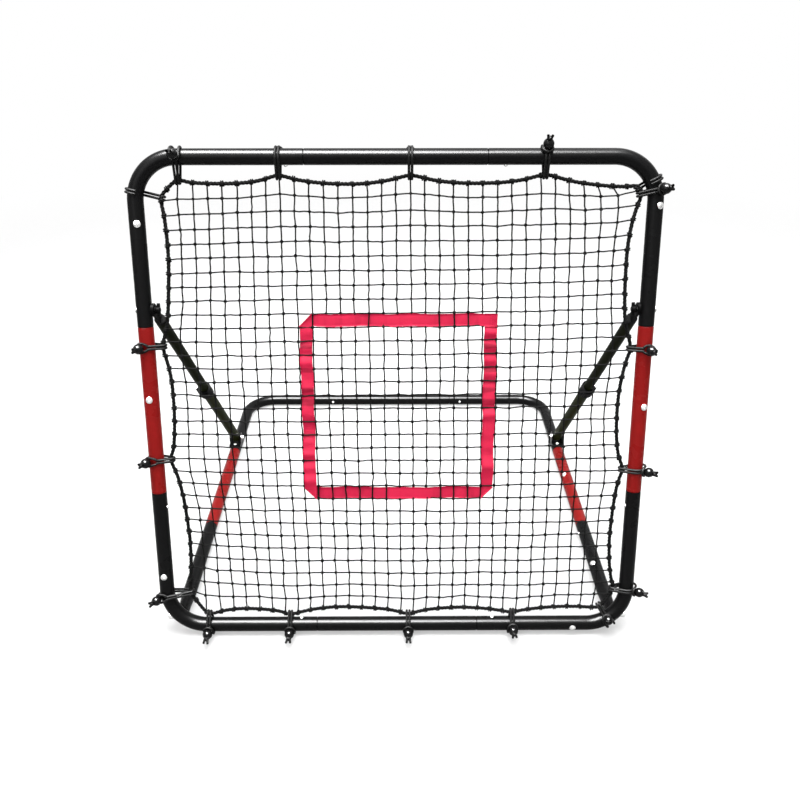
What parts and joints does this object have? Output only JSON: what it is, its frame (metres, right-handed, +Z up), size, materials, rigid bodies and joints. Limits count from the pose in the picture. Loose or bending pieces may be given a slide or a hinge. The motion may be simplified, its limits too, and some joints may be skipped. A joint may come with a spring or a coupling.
{
  "type": "pitch back rebounder",
  "caption": "Leaning tube frame with a sprung net and a square target, on a folding base with telescopic struts, that throws a ball back.",
  "frame": {"origin": "under the middle of the whole object, on the ground it stands on", "axes": "+X to the right for someone who faces the net, +Y away from them towards the base's rear bar, +Z up"},
  "size_m": [1.0363, 1.0461, 0.9856],
  "materials": {
    "frame_black": "gloss",
    "frame_red": "gloss",
    "strut_grey": "satin",
    "zinc_steel": "bright zinc",
    "black_plastic": "satin",
    "ball_black": "gloss",
    "net_black": "knotted cord",
    "rope_black": "braided",
    "bungee_black": "braided",
    "webbing_red": "woven webbing"
  },
  "bodies": {
    "front_frame": {"top_left_elbow": "frame_black", "top_right_elbow": "frame_black", "bottom_left_elbow": "frame_black", "bottom_right_elbow": "frame_black", "top_centre_tube": "frame_black", "bottom_centre_tube": "frame_black", "left_upright_middle_tube": "frame_red", "right_upright_middle_tube": "frame_red", "net": "net_black", "net_border_rope": "rope_black", "target_webbing": "webbing_red", "bungee_cords": "bungee_black", "floor_bungee_cords": "bungee_black", "bungee_balls": "ball_black", "frame_screws": "zinc_steel", "frame_spring_clips": "zinc_steel", "hinge_bushes": "zinc_steel", "hinge_bolts": "zinc_steel", "strut_bolts": "zinc_steel", "pivot_washers": "zinc_steel"},
    "base": {"left_arm_front_tube": "frame_black", "right_arm_front_tube": "frame_black", "left_arm_middle_tube": "frame_red", "right_arm_middle_tube": "frame_red", "rear_left_elbow": "frame_black", "rear_right_elbow": "frame_black", "rear_centre_tube": "frame_black", "base_spring_clips": "zinc_steel", "left_strut_bracket": "frame_black", "right_strut_bracket": "frame_black", "base_screws": "zinc_steel", "strut_foot_bolts": "zinc_steel", "left_hinge_plate": "frame_black", "right_hinge_plate": "frame_black"},
    "left_strut_lower": {"left_strut_lower_tube": "strut_grey", "left_clamp_collar": "black_plastic", "left_clamp_pin": "zinc_steel"},
    "left_strut_upper": {"left_strut_upper_tube": "frame_black", "left_strut_eye": "black_plastic"},
    "left_clamp_lever": {"left_clamp_lever": "black_plastic"},
    "left_wing_knob": {"left_wing_knob": "black_plastic"},
    "right_strut_lower": {"right_strut_lower_tube": "strut_grey", "right_clamp_collar": "black_plastic", "right_clamp_pin": "zinc_steel"},
    "right_strut_upper": {"right_strut_upper_tube": "frame_black", "right_strut_eye": "black_plastic"},
    "right_clamp_lever": {"right_clamp_lever": "black_plastic"},
    "right_wing_knob": {"right_wing_knob": "black_plastic"},
    "top_left_button": {"top_left_button": "zinc_steel"},
    "bottom_left_button": {"bottom_left_button": "zinc_steel"},
    "left_upright_button": {"left_upright_button": "zinc_steel"},
    "rear_left_button": {"rear_left_button": "zinc_steel"},
    "left_arm_button": {"left_arm_button": "zinc_steel"},
    "top_right_button": {"top_right_button": "zinc_steel"},
    "bottom_right_button": {"bottom_right_button": "zinc_steel"},
    "right_upright_button": {"right_upright_button": "zinc_steel"},
    "rear_right_button": {"rear_right_button": "zinc_steel"},
    "right_arm_button": {"right_arm_button": "zinc_steel"}
  },
  "joints": [
    {"name": "frame_tilt", "type": "hinge", "parent": "base", "child": "front_frame", "pos_m": [0, -0.46926, 0.0406], "axis": [-1, 0, 0], "range_deg": [-10, 10]},
    {"name": "left_strut_swing", "type": "hinge", "parent": "base", "child": "left_strut_lower", "pos_m": [-0.4663, 0.23605, 0.046], "axis": [-1, 0, 0], "range_deg": [-4.6, 4.6]},
    {"name": "left_strut_slide", "type": "slide", "parent": "left_strut_lower", "child": "left_strut_upper", "axis": [0, -0.6517, 0.7584], "range_m": [-0.095, 0.095]},
    {"name": "left_lever_swing", "type": "hinge", "parent": "left_strut_lower", "child": "left_clamp_lever", "pos_m": [-0.4848, -0.00184, 0.32283], "axis": [0, 0.6517, -0.7584], "range_deg": [0, 110]},
    {"name": "left_knob_turn", "type": "hinge", "parent": "front_frame", "child": "left_wing_knob", "pos_m": [-0.4636, -0.30051, 0.67038], "axis": [-1, 0, 0], "continuous": true},
    {"name": "right_strut_swing", "type": "hinge", "parent": "base", "child": "right_strut_lower", "pos_m": [0.4663, 0.23605, 0.046], "axis": [-1, 0, 0], "range_deg": [-4.6, 4.6]},
    {"name": "right_strut_slide", "type": "slide", "parent": "right_strut_lower", "child": "right_strut_upper", "axis": [0, -0.6517, 0.7584], "range_m": [-0.095, 0.095]},
    {"name": "right_lever_swing", "type": "hinge", "parent": "right_strut_lower", "child": "right_clamp_lever", "pos_m": [0.4848, -0.00184, 0.32283], "axis": [0, -0.6517, 0.7584], "range_deg": [0, 110]},
    {"name": "right_knob_turn", "type": "hinge", "parent": "front_frame", "child": "right_wing_knob", "pos_m": [0.4636, -0.30051, 0.67038], "axis": [1, 0, 0], "continuous": true},
    {"name": "top_left_press", "type": "slide", "parent": "front_frame", "child": "top_left_button", "axis": [0, 0.2588, 0.9659], "range_m": [0, 0.005], "stiffness_N_per_m": 500, "springref_m": -0.002},
    {"name": "bottom_left_press", "type": "slide", "parent": "front_frame", "child": "bottom_left_button", "axis": [0, -0.2588, -0.9659], "range_m": [0, 0.005], "stiffness_N_per_m": 500, "springref_m": -0.002},
    {"name": "left_upright_press", "type": "slide", "parent": "front_frame", "child": "left_upright_button", "axis": [-1, 0, 0], "range_m": [0, 0.005], "stiffness_N_per_m": 500, "springref_m": -0.002},
    {"name": "rear_left_press", "type": "slide", "parent": "base", "child": "rear_left_button", "axis": [0, 1, 0], "range_m": [0, 0.005], "stiffness_N_per_m": 500, "springref_m": -0.002},
    {"name": "left_arm_press", "type": "slide", "parent": "base", "child": "left_arm_button", "axis": [-1, 0, 0], "range_m": [0, 0.005], "stiffness_N_per_m": 500, "springref_m": -0.002},
    {"name": "top_right_press", "type": "slide", "parent": "front_frame", "child": "top_right_button", "axis": [0, 0.2588, 0.9659], "range_m": [0, 0.005], "stiffness_N_per_m": 500, "springref_m": -0.002},
    {"name": "bottom_right_press", "type": "slide", "parent": "front_frame", "child": "bottom_right_button", "axis": [0, -0.2588, -0.9659], "range_m": [0, 0.005], "stiffness_N_per_m": 500, "springref_m": -0.002},
    {"name": "right_upright_press", "type": "slide", "parent": "front_frame", "child": "right_upright_button", "axis": [1, 0, 0], "range_m": [0, 0.005], "stiffness_N_per_m": 500, "springref_m": -0.002},
    {"name": "rear_right_press", "type": "slide", "parent": "base", "child": "rear_right_button", "axis": [0, 1, 0], "range_m": [0, 0.005], "stiffness_N_per_m": 500, "springref_m": -0.002},
    {"name": "right_arm_press", "type": "slide", "parent": "base", "child": "right_arm_button", "axis": [1, 0, 0], "range_m": [0, 0.005], "stiffness_N_per_m": 500, "springref_m": -0.002}
  ],
  "couplings": [
    {"joint": "left_strut_swing", "follows": "frame_tilt", "ratio": 0.447},
    {"joint": "left_strut_slide", "follows": "frame_tilt", "m_per_rad": -0.538},
    {"joint": "right_strut_swing", "follows": "frame_tilt", "ratio": 0.447},
    {"joint": "right_strut_slide", "follows": "frame_tilt", "m_per_rad": -0.538}
  ]
}
